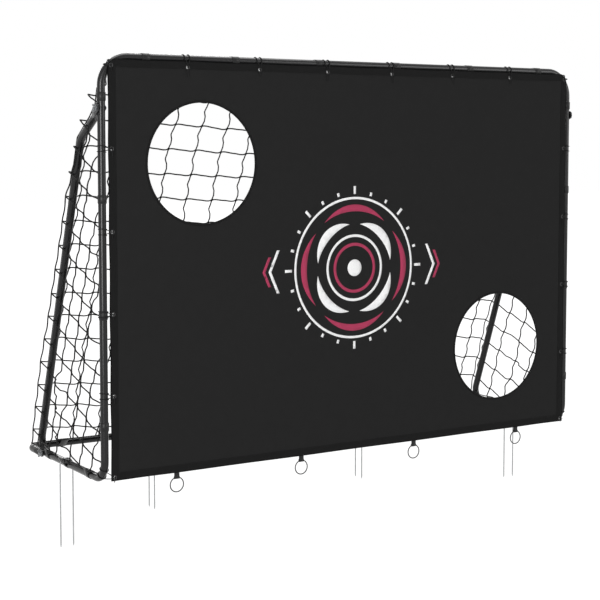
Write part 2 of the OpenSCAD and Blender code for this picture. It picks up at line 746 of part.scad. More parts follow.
// A side net: its runs of twine follow the slope of the back net's lower panel
module side_net() {
    back = net_gap + twine;
    outline = [
        [net_front_y, net_low[1]], [net_low[0] - back, net_low[1]],
        [net_bend[0] - back, net_bend[1]], [net_front_y + net_cut / 2, net_corner_z],
        [net_front_y, net_corner_z]];
    slope = seg_angle(net_low, net_bend);
    turned = [for (p = outline) turn_flat(p - net_low, -slope)];
    reach = [for (a = [0, 1]) [for (p = turned) p[a]]];
    color(CORD_C) in_side_plane(-net_side - twine / 2) translate(net_low) rotate(slope)
        difference() {
            linear_extrude(twine) polygon(turned);
            gaps(turned, runs(min(reach[0]), max(reach[0]), mesh),
                runs(min(reach[1]), max(reach[1]), mesh));
        }
}
function turn_flat(p, a) = [p[0] * cos(a) - p[1] * sin(a), p[0] * sin(a) + p[1] * cos(a)];

// Straps: a band round the tube with a tail out to the net's edge
module strap(dir, reach) {
    inner = tube_r + tie_gap;
    translate([0, 0, -strap_w / 2]) linear_extrude(strap_w) {
        difference() {
            circle(inner + strap_t);
            circle(inner);
        }
        rotate(dir) translate([inner + strap_t / 2, -strap_t / 2])
            square([reach - inner - strap_t / 2 - net_gap / 2, strap_t]);
    }
}
module x_strap(x, at, to) {
    d = to - at;
    translate([x, at[0], at[1]]) rotate([90, 0, 90]) strap(atan2(d[1], d[0]), norm(d));
}
module straps_top() {
    xs = spread(top_strap_inset - half_w, half_w - top_strap_inset, top_straps);
    net_inner = net_top + twine * left_of(net_bend, net_top);
    color(STRAP_C) for (x = xs) x_strap(x, [0, frame_h], net_inner);
}
module straps_rear() {
    xs = spread(rear_strap_inset - half_w, half_w - rear_strap_inset, rear_straps);
    color(STRAP_C) for (x = xs) x_strap(x, [frame_d, tube_r], net_low);
}
module side_straps() {
    color(STRAP_C) {
        for (drop = post_strap_drops) translate([0, 0, frame_h - drop])
            strap(atan2(net_front_y, -net_side), norm([net_side, net_front_y]));
        for (y = concat(base_strap_backs, frame_d - rear_strap_d))
            translate([0, y, tube_r]) rotate([90, 0, 0])
            strap(atan2(net_low[1] - tube_r, -net_side), norm([net_side, net_low[1] - tube_r]));
    }
}

// Ground stakes: a wire hoop over a tube, drawn across X at the origin
module stake() {
    leg_top = crown_z + stake_depth;
    color(STEEL_C) {
        translate([0, 0, crown_z]) rotate([90, 0, 0]) rotate_extrude(angle = 180)
            translate([crown_r, 0]) circle(stake_r);
        for (s = [-1, 1]) translate([s * crown_r, 0, -stake_depth]) {
            translate([0, 0, stake_tip_l]) cylinder(h = leg_top - stake_tip_l, r = stake_r);
            cylinder(h = stake_tip_l, r1 = stake_tip_r, r2 = stake_r);
        }
    }
}
module side_stake() { translate([0, side_stake_back, 0]) stake(); }
module rear_stake(x) { translate([x, frame_d, 0]) rotate([0, 0, 90]) stake(); }

for (side = SIDES) {
    on_side(side) corner_tube();
    on_side(side) post();
    on_side(side) foot_tube();
    on_side(side) stay_upper();
    on_side(side) stay_lower();
    rear_bar(side);
    on_side(side) bolt_at(stay_top);
    on_side(side) bolt_at(rear_bolt);
    on_side(side) wing_nut_at(stay_top);
    on_side(side) wing_nut_at(rear_bolt);
    on_side(side) snap_button();
    on_side(side) side_ties();
    on_side(side) side_net();
    on_side(side) side_straps();
    on_side(side) side_stake();
}
top_bar_left();
top_bar_right();
washers();
target_sheet();
eyelets();
ties_top();
ring_tabs();
for (i = [1 : rings])
    ring(i - 1);
net_back_lower();
net_back_upper();
straps_top();
straps_rear();
rear_stake(rear_stake_left - half_w);  // stake_rear_left
rear_stake(half_w - rear_stake_right);  // stake_rear_right
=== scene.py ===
import math
import random

import bpy
from mathutils import Matrix, Vector, noise
from mathutils.geometry import delaunay_2d_cdt


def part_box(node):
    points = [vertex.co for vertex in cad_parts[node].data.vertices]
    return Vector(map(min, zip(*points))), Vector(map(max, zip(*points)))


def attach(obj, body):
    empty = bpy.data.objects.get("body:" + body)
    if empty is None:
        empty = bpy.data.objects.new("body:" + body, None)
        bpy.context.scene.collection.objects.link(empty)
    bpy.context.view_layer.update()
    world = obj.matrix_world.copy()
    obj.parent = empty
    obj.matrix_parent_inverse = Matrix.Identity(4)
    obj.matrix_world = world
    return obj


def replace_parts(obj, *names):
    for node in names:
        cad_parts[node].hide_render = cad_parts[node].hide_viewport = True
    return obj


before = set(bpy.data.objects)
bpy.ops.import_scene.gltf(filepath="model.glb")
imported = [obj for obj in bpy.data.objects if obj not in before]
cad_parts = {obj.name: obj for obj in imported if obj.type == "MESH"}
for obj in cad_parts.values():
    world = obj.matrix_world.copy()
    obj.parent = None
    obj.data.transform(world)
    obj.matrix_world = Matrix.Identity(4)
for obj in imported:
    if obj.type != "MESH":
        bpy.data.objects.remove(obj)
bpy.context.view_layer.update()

RND = random.Random(7)
noise.seed_set(7)  # without it, noise_vector's offsets come from the clock

# ---------------------------------------------------------------- camera
cam = bpy.data.cameras.new("camera")
cam.sensor_fit = 'HORIZONTAL'
cam.sensor_width = 36
cam.lens = 85.575
cam.shift_y = -0.079
cam.clip_end = 100
camera = bpy.data.objects.new("camera", cam)
camera.location = (-3.0725, -4.5224, 1.1796)
camera.rotation_euler = (math.radians(85.73), 0, math.radians(-31.9))
bpy.context.collection.objects.link(camera)
bpy.context.scene.camera = camera
bpy.context.scene.view_settings.view_transform = 'Standard'

# ---------------------------------------------------------------- sizes, in metres
# The frame and the sheet, as in the CAD model
SIDES = ((-1, "left"), (1, "right"))
HALF_W, FRAME_H, FRAME_D, TUBE_R = 1.059, 1.486, 0.690, 0.014
CORNER_R, FOOT_R = 0.100, 0.070
BEND_X, BEND_Z = HALF_W - CORNER_R, FRAME_H - CORNER_R
sheet_lo, sheet_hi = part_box("target_sheet")
SHEET_HALF, SHEET_TOP, SHEET_LOW = sheet_hi[0], sheet_hi[2], sheet_lo[2]
MID_Y = (sheet_lo[1] + sheet_hi[1]) / 2
HEM_W = 0.029
CORNER_CUT = 0.035
HOLE_R = 0.215
HOLES = [(0.363 - SHEET_HALF, SHEET_TOP - 0.361), (SHEET_HALF - 0.363, SHEET_LOW + 0.350)]
EYE_R = 0.0053
EYE_HALF, EYE_TOP, EYE_LOW = SHEET_HALF - 0.0125, SHEET_TOP - 0.023, SHEET_LOW + 0.0125
TOP_EYES = [-EYE_HALF + 2 * EYE_HALF * i / 7 for i in range(8)]
SIDE_EYES = [EYE_LOW + (EYE_TOP - EYE_LOW) * i / 5 for i in range(6)]
RING_XS = [sum(c[0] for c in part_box(f"ring_{i}")) / 2 for i in range(1, 5)]
RING_R = 0.0021

# Thickness of the cloth's layers, front to back face
CLOTH_T, HEM_T, FOLD_T, BINDING_T, PRINT_T = 0.0014, 0.0034, 0.0038, 0.0026, 0.00012

# The ties: each has a turn round the tube on both sides of its eyelet, TURN_OFF away, that
# moves TURN_DRIFT along the tube. KNOT_Y is the knot's place, EDGE_Y where the cord turns
# over the sheet's edge. ON_STRAP lifts a turn that lies on a net strap.
CORD_R = 0.0015
TURN_OFF, TURN_DRIFT, ON_STRAP = 0.010, 0.003, 0.0017
KNOT_Y, EDGE_Y = -0.0222, -0.0204

# The net hangs just outside the stays, and its edge cord runs behind the tubes
NET_X = 1.0765
EDGE_X, EDGE_BACK = 1.062, 0.0165
NET_LOW, NET_BEND, NET_TOP = (0.650, 0.034), (0.215, 1.17875), (0.0125, 1.4975)
NET_FOOT = 0.0355
TWINE_R, EDGE_R = 0.0026, 0.0023
KNOT_SIZE = (0.0042, 0.0036, 0.0060)

# The straps: places on the posts and on the base tubes, width and thickness
STRAP_ZS = [1.349, .997, .595, .205]
STRAP_YS = [.125, .325, .495]
STRAP_W, STRAP_T = 0.030, 0.0012
STAKE_Y = 0.346


# ---------------------------------------------------------------- materials
def nodes_of(name):
    m = bpy.data.materials.new(name)
    m.use_nodes = True
    nt = m.node_tree
    return m, nt, nt.nodes["Principled BSDF"]


def add(nt, kind, inputs=None, **props):
    n = nt.nodes.new(kind)
    for k, v in props.items():
        setattr(n, k, v)
    for k, v in (inputs or {}).items():
        if isinstance(v, bpy.types.NodeSocket):
            nt.links.new(v, n.inputs[k])
        else:
            n.inputs[k].default_value = v
    return n


def math_node(nt, op, a, b=0.0):
    return add(nt, "ShaderNodeMath", {0: a, 1: b}, operation=op).outputs[0]


def ramp_color(nt, fac, dark, light, lo=0.3, hi=0.7):
    r = add(nt, "ShaderNodeValToRGB", {"Fac": fac})
    for stop, place, color in zip(r.color_ramp.elements, (lo, hi), (dark, light)):
        stop.position = place
        stop.color = (*color, 1)
    return r.outputs["Color"]


def map_range(nt, value, lo, hi):
    return add(nt, "ShaderNodeMapRange", {"Value": value, "To Min": lo, "To Max": hi}).outputs[0]


def cloud_noise(nt, scale, detail, **more):
    inputs = {"Vector": coords(nt), "Scale": scale, "Detail": detail}
    inputs.update(more)
    return add(nt, "ShaderNodeTexNoise", inputs).outputs["Fac"]


def bump(nt, bsdf, height, strength, distance):
    b = add(nt, "ShaderNodeBump", {"Height": height, "Strength": strength, "Distance": distance})
    nt.links.new(b.outputs["Normal"], bsdf.inputs["Normal"])


def coords(nt):
    return add(nt, "ShaderNodeTexCoord").outputs["Object"]


def wave(nt, value, factor):
    return math_node(nt, 'SINE', math_node(nt, 'MULTIPLY', value, factor))


def half_plus(nt, pattern, fuzz):
    """A bump height: half of the pattern, with fibres or dirt on it. The callers also take
    colour from it, darker where it is low: painted shade.
    """
    return math_node(nt, 'ADD', math_node(nt, 'MULTIPLY', pattern, .5), fuzz)


def along_piece(nt):
    """The piece's own UV: 0 is across or around it, 1 is along it."""
    uv = add(nt, "ShaderNodeUVMap", uv_map="UVMap")
    return add(nt, "ShaderNodeSeparateXYZ", {"Vector": uv.outputs[0]}).outputs


def grey(v):
    return (v, v, v)


def shade(color, k):
    return tuple(v * k for v in color)


def powder_coat():
    m, nt, b = nodes_of("powder_coat")
    patch = cloud_noise(nt, 9, 4)
    color = ramp_color(nt, patch, (.0045, .0045, .0048), (.0065, .0065, .0069))
    nt.links.new(color, b.inputs["Base Color"])
    nt.links.new(map_range(nt, patch, .21, .26), b.inputs["Roughness"])
    b.inputs["Specular IOR Level"].default_value = .3
    bump(nt, b, cloud_noise(nt, 900, 2), .12, .0003)
    return m


def plated(name, dark, light, rough, flake, metallic=.85):
    """Zinc or a dull coating: crystal flakes under a cloudy bloom."""
    m, nt, b = nodes_of(name)
    flakes = add(nt, "ShaderNodeTexVoronoi", {"Vector": coords(nt), "Scale": flake})
    cloud = cloud_noise(nt, 60, 5)
    mix = math_node(nt, 'MULTIPLY', flakes.outputs["Distance"], cloud)
    nt.links.new(ramp_color(nt, mix, light, dark, .05, .5), b.inputs["Base Color"])
    nt.links.new(map_range(nt, cloud, rough - .07, rough + .1), b.inputs["Roughness"])
    b.inputs["Metallic"].default_value = metallic
    bump(nt, b, cloud, .2, .0002)
    return m


def woven(name, color, sheen=.03, spec=.05, thread=.0011):
    """Plain weave: over and under threads from two crossed waves."""
    m, nt, b = nodes_of(name)
    sep = add(nt, "ShaderNodeSeparateXYZ", {"Vector": coords(nt)}).outputs
    k = math.pi / thread
    weave = math_node(nt, 'MULTIPLY', wave(nt, sep["X"], k), wave(nt, sep["Z"], k))
    height = half_plus(nt, weave, cloud_noise(nt, 35, 6, Roughness=.65))
    # The colour follows the weave's height: painted shade in the low places between threads and
    # a painted highlight on the raised ones, with random tone from the fuzz.
    color = ramp_color(nt, height, shade(color, .88), shade(color, 1.1), .1, .95)
    nt.links.new(color, b.inputs["Base Color"])
    b.inputs["Roughness"].default_value = .82
    b.inputs["Specular IOR Level"].default_value = spec
    b.inputs["Sheen Weight"].default_value = sheen
    b.inputs["Sheen Roughness"].default_value = .5
    bump(nt, b, height, .5, .0003)
    return m


def twisted(name, color, pitch, strands=3):
    """Laid or braided cord: a spiral along the piece's own length."""
    m, nt, b = nodes_of(name)
    uv = along_piece(nt)
    along = math_node(nt, 'MULTIPLY', uv[1], 2 * math.pi / pitch)
    around = math_node(nt, 'MULTIPLY', uv[0], 2 * math.pi * strands)
    spiral = math_node(nt, 'SINE', math_node(nt, 'ADD', along, around))
    height = half_plus(nt, spiral, cloud_noise(nt, 700, 3))
    # The colour follows the strands' height: painted shade in the grooves between strands and a
    # painted highlight on their crowns, with random tone from the fuzz.
    color = ramp_color(nt, height, shade(color, .6), shade(color, 1.5), 0, 1)
    nt.links.new(color, b.inputs["Base Color"])
    b.inputs["Roughness"].default_value = .75
    b.inputs["Specular IOR Level"].default_value = .12
    b.inputs["Sheen Weight"].default_value = .03
    bump(nt, b, height, .8, .0005)
    return m


def ribbed(name, color, rib=.0016):
    """Webbing: ribs across the strap."""
    m, nt, b = nodes_of(name)
    uv = along_piece(nt)
    along = wave(nt, uv[1], 2 * math.pi / rib)
    across = wave(nt, uv[0], 2 * math.pi / (rib * 1.4))
    height = half_plus(nt, math_node(nt, 'MULTIPLY', along, across), cloud_noise(nt, 300, 4))
    # The colour follows the ribs' height: painted shade between the ribs and a painted highlight
    # on their tops, with random tone from the fuzz.
    color = ramp_color(nt, height, shade(color, .7), shade(color, 1.3), .1, .9)
    nt.links.new(color, b.inputs["Base Color"])
    b.inputs["Roughness"].default_value = .32
    b.inputs["Specular IOR Level"].default_value = .18
    b.inputs["Sheen Weight"].default_value = .02
    bump(nt, b, height, .25, .0002)
    return m


TUBE = powder_coat()
ZINC = plated("zinc_plate", (.11, .115, .12), (.36, .37, .38), .34, 900)
EYELET = plated("eyelet_metal", grey(.025), grey(.055), .6, 900, .2)
WIRE = plated("galvanised_wire", (.24, .245, .25), (.38, .385, .39), .5, 500)
RING = plated("ring_coating", grey(.010), grey(.020), .4, 600, 0)
CLOTH = woven("sheet_cloth", grey(.0132))
HEM = woven("hem_cloth", grey(.0085))
EDGE = woven("hem_edge", grey(.003), sheen=0)
THREAD = twisted("stitch_thread", grey(.012), .001, 2)
TIE = twisted("tie_cord", grey(.008), .004)
TWINE = twisted("net_twine", grey(.006), .006)
WEB = ribbed("webbing", grey(.012))
INK_WHITE = woven("print_white", grey(.76), spec=.1)
INK_RED = woven("print_red", (.33, .032, .080), spec=.2)


# ---------------------------------------------------------------- meshes
class Soup:
    """Vertices, faces and UVs for one mesh, with a UV in metres on swept pieces."""

    def __init__(self):
        self.v, self.f, self.uv = [], [], []

    def face(self, idx, uvs):
        self.f.append(idx)
        self.uv.extend(uvs)

    def build(self, name, mat, slot, body="frame"):
        me = bpy.data.meshes.new(name)
        me.from_pydata(self.v, [], self.f)
        layer = me.uv_layers.new(name="UVMap")
        for i, uv in enumerate(self.uv):
            layer.data[i].uv = uv
        me.validate()
        me.update()
        me.polygons.foreach_set("use_smooth", [True] * len(me.polygons))
        ob = bpy.data.objects.new(name, me)
        bpy.context.collection.objects.link(ob)
        me.materials.append(mat)
        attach(ob, body)
        return ob


def sweep(soup, pts, r, sides=6, closed=False, radii=None):
    """A round tube along points, with its frame carried along without twist."""
    pts = [Vector(p) for p in pts]
    n = len(pts)
    if n < 2:
        return
    base = len(soup.v)
    t0 = (pts[1] - pts[0]).normalized()
    side = t0.orthogonal().normalized()
    length, reached = 0.0, []
    for i, p in enumerate(pts):
        a = pts[i - 1] if (i or closed) else pts[i]
        b = pts[(i + 1) % n] if (i < n - 1 or closed) else pts[i]
        t = b - a
        t = t.normalized() if t.length > 1e-9 else t0
        side = side - t * side.dot(t)
        side = side.normalized() if side.length > 1e-9 else t.orthogonal().normalized()
        up = t.cross(side)
        rr = radii[i] if radii else r
        for k in range(sides):
            ang = 2 * math.pi * k / sides
            soup.v.append(tuple(p + (side * math.cos(ang) + up * math.sin(ang)) * rr))
        if i:
            length += (p - pts[i - 1]).length
        reached.append(length)
    for i in range(n if closed else n - 1):
        j = (i + 1) % n
        v0 = reached[i]
        v1 = reached[j] if j else length + (pts[0] - pts[-1]).length
        here, there = base + i * sides, base + j * sides
        for k in range(sides):
            m = (k + 1) % sides
            u0, u1 = k / sides, (k + 1) / sides
            soup.face([here + k, here + m, there + m, there + k],
                      [(u0, v0), (u1, v0), (u1, v1), (u0, v1)])
    if not closed:
        for i, order in ((0, range(sides - 1, -1, -1)), (n - 1, range(sides))):
            soup.face([base + i * sides + k for k in order], [(0, 0)] * sides)


def blob(soup, c, size, rot=None, rings=5, sides=8):
    """A small closed knot shape."""
    sx, sy, sz = size
    base = len(soup.v)
    rot = rot or Matrix.Identity(3)
    c = Vector(c)
    tall = .002
    soup.v.append(tuple(c + rot @ Vector((0, 0, sz))))
    for i in range(1, rings):
        a = math.pi * i / rings
        for k in range(sides):
            b = 2 * math.pi * k / sides
            bulge = 1 + .16 * math.sin(3 * b + 4 * a)
            q = Vector((sx * math.sin(a) * math.cos(b) * bulge,
                        sy * math.sin(a) * math.sin(b) * bulge, sz * math.cos(a)))
            soup.v.append(tuple(c + rot @ q))
    soup.v.append(tuple(c + rot @ Vector((0, 0, -sz))))
    end = len(soup.v) - 1
    for k in range(sides):
        m = (k + 1) % sides
        tip = [(0, 0), (0, tall), (.2, tall)]
        soup.face([base, base + 1 + k, base + 1 + m], tip)
        soup.face([end, end - sides + m, end - sides + k], tip)
        for i in range(rings - 2):
            a, b = base + 1 + i * sides, base + 1 + (i + 1) * sides
            u, v = k / sides, i * tall
            soup.face([a + k, b + k, b + m, a + m],
                      [(u, v), (u, v + tall), (u + .1, v + tall), (u + .1, v)])


def smooth_path(pts, steps=4):
    """Catmull-Rom through the points."""
    pts = [Vector(p) for p in pts]
    out = []
    for i in range(len(pts) - 1):
        p0 = pts[max(i - 1, 0)]
        p1, p2 = pts[i], pts[i + 1]
        p3 = pts[min(i + 2, len(pts) - 1)]
        for s in range(steps):
            t = s / steps
            out.append(.5 * ((2 * p1) + (p2 - p0) * t
                             + (2 * p0 - 5 * p1 + 4 * p2 - p3) * t * t
                             + (3 * p1 - p0 - 3 * p2 + p3) * t ** 3))
    out.append(pts[-1])
    return out


def spread(a, b, n):
    return [a + (b - a) * i / (n - 1) for i in range(n)]


def smooth(t):
    """Eases from 0 to 1."""
    t = min(max(t, 0), 1)
    return t * t * (3 - 2 * t)


def interp(pts, t):
    """The value at t of a table of (place, value), eased from row to row."""
    for (a, va), (b, vb) in zip(pts, pts[1:]):
        if t <= b:
            return va + (vb - va) * smooth((t - a) / (b - a))
    return pts[-1][1]


# ---------------------------------------------------------------- net
# w is the distance across the unrolled net, s the distance up along its back edge
L1 = math.dist(NET_LOW, NET_BEND)
L2 = math.dist(NET_BEND, NET_TOP)
TOTAL = L1 + L2
COLS = list(range(-11, 25))
ROWS = list(range(-11, 7))

# Columns: column 0 lies COL_0 left of the middle, and the spacing narrows to the right.
# Left of FOLD_COL, at the left fold, the side net has its own spacing.
# Rows: the height of row 0 along the edge and the spacing. They rise over LEFT_RUN.
COL_0, COL_STEP, COL_NARROWS = .691, .110, .00027
FOLD_COL, SIDE_FIRST, SIDE_STEP = -3, .084, .088
LEFT_RUN = .3855
ROW_0, ROW_STEP = 1.018, .0985

# How far behind the even slope the net's folded edge lies, by height
FOLD_PLAY = [(.034, 0), (.20, .013), (.38, .022), (.55, .008), (.90, -.002), (1.09, -.002),
             (1.19, -.015), (1.27, -.014), (1.36, -.031), (1.50, 0)]
# How a strand bows between two knots, by its share of the way
COLUMN_BOW = [(0, 0), (.15, -.0022), (.4, -.0068), (.62, .0018), (.78, .0040), (1, 0)]
ROW_BOW = [(0, 0), (.12, .0018), (.5, -.0018), (.86, -.005), (1, 0)]
JIT = {(k, j): (RND.uniform(-.003, .003), RND.uniform(-.003, .003)) for k in COLS for j in ROWS}


def profile(s):
    """Point of the net's back edge at arc length s, in the side plane."""
    if s <= L1:
        a, b, t = NET_LOW, NET_BEND, s / L1
    else:
        a, b, t = NET_BEND, NET_TOP, (s - L1) / L2
    return Vector((a[0] + (b[0] - a[0]) * t, a[1] + (b[1] - a[1]) * t))


def inward(s):
    """Direction in the side plane, square to the back edge and forward, eased at the bend."""
    lo = math.atan2(NET_BEND[1] - NET_LOW[1], NET_BEND[0] - NET_LOW[0])
    hi = math.atan2(NET_TOP[1] - NET_BEND[1], NET_TOP[0] - NET_BEND[0])
    t = min(max((s - L1 + .15) / .3, 0), 1)
    a = lo + (hi - lo) * t + math.pi / 2
    return Vector((math.cos(a), math.sin(a)))


def col_w(k):
    """Unrolled place of column k: even in the back net, closer on the left side."""
    if k < FOLD_COL:
        return -(NET_X + SIDE_FIRST + SIDE_STEP * (FOLD_COL - 1 - k))
    return -COL_0 + COL_STEP * k - COL_NARROWS * k * k


def row_s(j, w):
    """Arc length of row j: the rows rise to the left edge and sag toward the right."""
    s = ROW_0 + ROW_STEP * j + .006 * max(j - 2, 0)
    if w < -COL_0:
        rise = .0175 - .002 * j + (.008 if j > 2 else 0)
        return s + min((-COL_0 - w) / LEFT_RUN, 1) * rise
    sag = .03 * (1 - math.exp(-(w + COL_0) / .4)) * (.4 + .6 * s)
    return s - sag - .024 * smooth((w - .88) / .18)


def side_x(y, z):
    """The side net comes in behind the post, and the ground stake pushes it out a little."""
    out = .015 * smooth((.36 - z) / .03) * smooth((.045 - abs(y - STAKE_Y)) / .02)
    return NET_X - (NET_X - EDGE_X) * (1 - smooth((y - EDGE_BACK) / .05)) + out


def corner_reach(w, z):
    """Distance out from the centre of a top corner's bend, or 0 where the tubes are straight."""
    if abs(w) < BEND_X or z < BEND_Z:
        return 0
    return math.hypot(abs(w) - BEND_X, z - BEND_Z)


def net_point(w, s):
    """The back net between the folds, and the side nets beyond them."""
    s = min(max(s, 0), TOTAL)
    t = abs(w) - NET_X
    p = profile(s) + inward(s) * max(t, 0)
    y, z = p.x + interp(FOLD_PLAY, profile(s).y) * math.exp(-abs(t) / .12), p.y
    if t > 0:
        return Vector((math.copysign(side_x(y, z), w), y, z))
    across = math.sin(math.pi * (w + NET_X) / (2 * NET_X))
    sag = .004 * across * math.sin(math.pi * min(s / L1, 1))
    y, z = y - inward(s).x * sag, z - inward(s).y * sag
    if corner_reach(w, z) > 0:
        y += (EDGE_BACK - y) * smooth((corner_reach(w, z) - .03) / (CORNER_R - .03))
    return Vector((w, y, z))


def crossing(k, j):
    w = col_w(k)
    dw, ds = JIT[(k, j)]
    return w + dw, row_s(j, w) + ds


def place_strand(soup, samples, region):
    """Sweeps the parts of a strand that lie in the region, cut where they cross its edge."""
    def border(a, b):
        for _ in range(7):
            m = ((a[0] + b[0]) / 2, (a[1] + b[1]) / 2)
            a, b = (m, b) if region(*m) == region(*a) else (a, m)
        return net_point(*m)
    run = []
    for a, b in zip(samples, samples[1:]):
        if region(*a):
            run.append(net_point(*a))
            if not region(*b):
                run.append(border(a, b))
                sweep(soup, run, TWINE_R)
                run = []
        elif region(*b):
            run = [border(a, b)]
    if len(run) > 1:
        sweep(soup, run, TWINE_R)


def in_back(w, s):
    if abs(w) > NET_X or not 0 <= s <= TOTAL:
        return False
    return corner_reach(w, net_point(w, s).z) <= CORNER_R


def in_side(sign):
    def test(w, s):
        if w * sign <= NET_X or not 0 <= s <= TOTAL:
            return False
        p = net_point(w, s)
        return p.y >= EDGE_BACK and NET_FOOT <= p.z <= BEND_Z
    return test


def strands(steps=10):
    """Every strand of the unrolled net as dense (w, s) samples."""
    shares = [i / steps for i in range(steps)]
    for k in COLS:
        pts = []
        for j in ROWS[:-1]:
            (w0, s0), (w1, s1) = crossing(k, j + 1), crossing(k, j)
            pts = [(w0 + (w1 - w0) * i / steps + interp(COLUMN_BOW, t),
                    s0 + (s1 - s0) * i / steps) for i, t in enumerate(shares)] + pts
        yield pts
    for j in ROWS:
        pts = []
        for k in COLS[:-1]:
            (w0, s0), (w1, s1) = crossing(k, j), crossing(k + 1, j)
            pts += [(w0 + (w1 - w0) * i / steps,
                     s0 + (s1 - s0) * i / steps + interp(ROW_BOW, t))
                    for i, t in enumerate(shares)]
        yield pts


def fold_strand(sign, step=.012):
    """The strand that joins the tips at the fold. Higher up it moves behind the stay."""
    rows = [row_s(j, -NET_X) for j in ROWS]
    out = []
    for s in spread(0, row_s(2, -NET_X), int(L1 / step)):
        gaps = [(s - a) / (b - a) for a, b in zip(rows, rows[1:]) if a <= s <= b]
        bow = .007 * math.sin(math.pi * gaps[0]) ** 2 if gaps else 0
        forward = .024 * smooth((s - row_s(0, -NET_X)) / .09)
        out.append(net_point(sign * (NET_X + .0004 + bow + forward), s))
    return out


def knot_frame(w, s):
    """Axes of a net knot: z along the column, x across it in the net."""
    z = (net_point(w, s + .01) - net_point(w, s)).normalized()
    out = Vector((0, -1, 0)) if abs(w) <= NET_X else Vector((1, 0, 0))
    x = z.cross(out).normalized()
    return Matrix((x, z.cross(x), z)).transposed()


def build_net(name, cad_nodes, region, border, folds=()):
    soup = Soup()
    for pts in strands():
        place_strand(soup, pts, region)
    for k in COLS:
        for j in ROWS:
            w, s = crossing(k, j)
            if region(w, s):
                blob(soup, net_point(w, s), KNOT_SIZE, knot_frame(w, s))
    for path in border:
        sweep(soup, path, EDGE_R, 8)
    for path in folds:
        sweep(soup, path, TWINE_R)
    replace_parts(soup.build(name, TWINE, "net_twine"), *cad_nodes)


def edge_path(pts, step=.03, wobble=.0006):
    """An edge cord through points, with a little unevenness."""
    out = []
    for a, b in zip(pts, pts[1:]):
        a, b = Vector(a), Vector(b)
        n = max(1, int((b - a).length / step))
        for i in range(n):
            p = a.lerp(b, i / n)
            out.append(p + Vector(noise.noise_vector(p * 9)) * wobble)
    out.append(Vector(pts[-1]))
    return out


def corner_arc(sign, steps=8):
    """Points behind a top corner's bend, from the post up."""
    return [(sign * (BEND_X + CORNER_R * math.cos(math.pi / 2 * i / steps)), EDGE_BACK,
             BEND_Z + CORNER_R * math.sin(math.pi / 2 * i / steps)) for i in range(steps + 1)]


top_cord = ([(-EDGE_X, EDGE_BACK, NET_FOOT)] + corner_arc(-1)
            + [(-.90, *NET_TOP), (.90, *NET_TOP)]
            + corner_arc(1)[::-1] + [(EDGE_X, EDGE_BACK, NET_FOOT)])
low_cord = [(-NET_X, *NET_LOW), (NET_X, *NET_LOW)]
build_net("back_net", ["net_back_lower", "net_back_upper"], in_back,
          [edge_path(top_cord), edge_path(low_cord)])
# The side net's own cords: along the base tube, and close behind the stay
STAY_CORD = [(.0175, 1.380), (.036, 1.323), (.085, 1.281), (.194, 1.210), (.612, .036)]
for sg, nm in SIDES:
    foot_cord = [(sg * side_x(y, NET_FOOT), y, NET_FOOT)
                 for y in spread(EDGE_BACK, NET_LOW[0], 25)]
    stay_cord = [(sg * (HALF_W + .007), y, z) for y, z in STAY_CORD]
    build_net(f"{nm}_side_net", [f"net_{nm}"], in_side(sg),
              [edge_path(foot_cord), edge_path(stay_cord)], [fold_strand(sg)])


# ---------------------------------------------------------------- target sheet
# Where cords pull at the cloth, in the order in which their pulls are added up
PULLS = ([(x, EYE_TOP) for x in TOP_EYES]
         + [(s * EYE_HALF, z) for z in SIDE_EYES for s in (-1, 1)])


def sheet_y(x, z):
    """Front-to-back play of the taut cloth: soft tension folds that start at the eyelets."""
    edge = min(SHEET_HALF - abs(x), z - SHEET_LOW, SHEET_TOP - z)
    near = min(max(edge / .16, 0), 1)
    n1 = noise.noise(Vector((x * 1.1, z * 1.3, 3.1)))
    n2 = noise.noise(Vector((x * 3.3 + z * 1.2, z * 3.1 - x, 8.7)))
    pull = 0
    for ex, ez in PULLS:
        d = math.hypot(x - ex, z - ez)
        pull += math.exp(-d / .05) * math.cos(9 * math.atan2(z - ez, x - ex))
    return smooth(near) * (-.0030 + .0018 * n1 + .0009 * n2) + .00035 * pull * near


def edge_in(x, z, band=.06):
    """The outline draws in a little between its eyelets."""
    def dip(v, stops, depth):
        for a, b in zip(stops, stops[1:]):
            if a <= v <= b:
                return depth * math.sin(math.pi * (v - a) / (b - a)) ** 2
        return 0

    def share(v):
        return min(max(v / band, 0), 1)
    dx = -math.copysign(dip(z, SIDE_EYES, .0018), x) * share(abs(x) - SHEET_HALF + band)
    dz = (-dip(x, TOP_EYES, .0018) * share(z - SHEET_TOP + band)
          + dip(x, [-SHEET_HALF] + RING_XS + [SHEET_HALF], .0008) * share(SHEET_LOW + band - z))
    return x + dx, z + dz


def contains(loop, p):
    hit = False
    for (x0, z0), (x1, z1) in zip(loop[-1:] + loop[:-1], loop):
        if (z0 > p[1]) != (z1 > p[1]) and p[0] < (x1 - x0) * (p[1] - z0) / (z1 - z0) + x0:
            hit = not hit
    return hit


def flat_mesh(outer, holes, spacing):
    """Points and triangles of a flat region (X, Z) with holes, on an even grid."""
    pts, edges = [], []

    def inside(p):
        return contains(outer, p) and not any(contains(h, p) for h in holes)
    for loop in [outer] + holes:
        base, n = len(pts), len(loop)
        pts.extend(Vector(p) for p in loop)
        edges.extend((base + i, base + (i + 1) % n) for i in range(n))
    xs = [p[0] for p in outer]
    zs = [p[1] for p in outer]
    x0, z0, width, height = min(xs), min(zs), max(xs) - min(xs), max(zs) - min(zs)
    nx, nz = int(width / spacing), int(height / spacing)
    for i in range(1, nx):
        for j in range(1, nz):
            p = (x0 + width * i / nx, z0 + height * j / nz)
            if inside(p):
                pts.append(Vector(p))
    v, _, f, *_ = delaunay_2d_cdt(pts, edges, [], 0, 1e-6)
    faces = []
    for tri in f:
        c = sum((v[i] for i in tri), Vector((0, 0))) / len(tri)
        if inside(c):
            faces.append(list(tri))
    return [(p.x, p.y) for p in v], faces


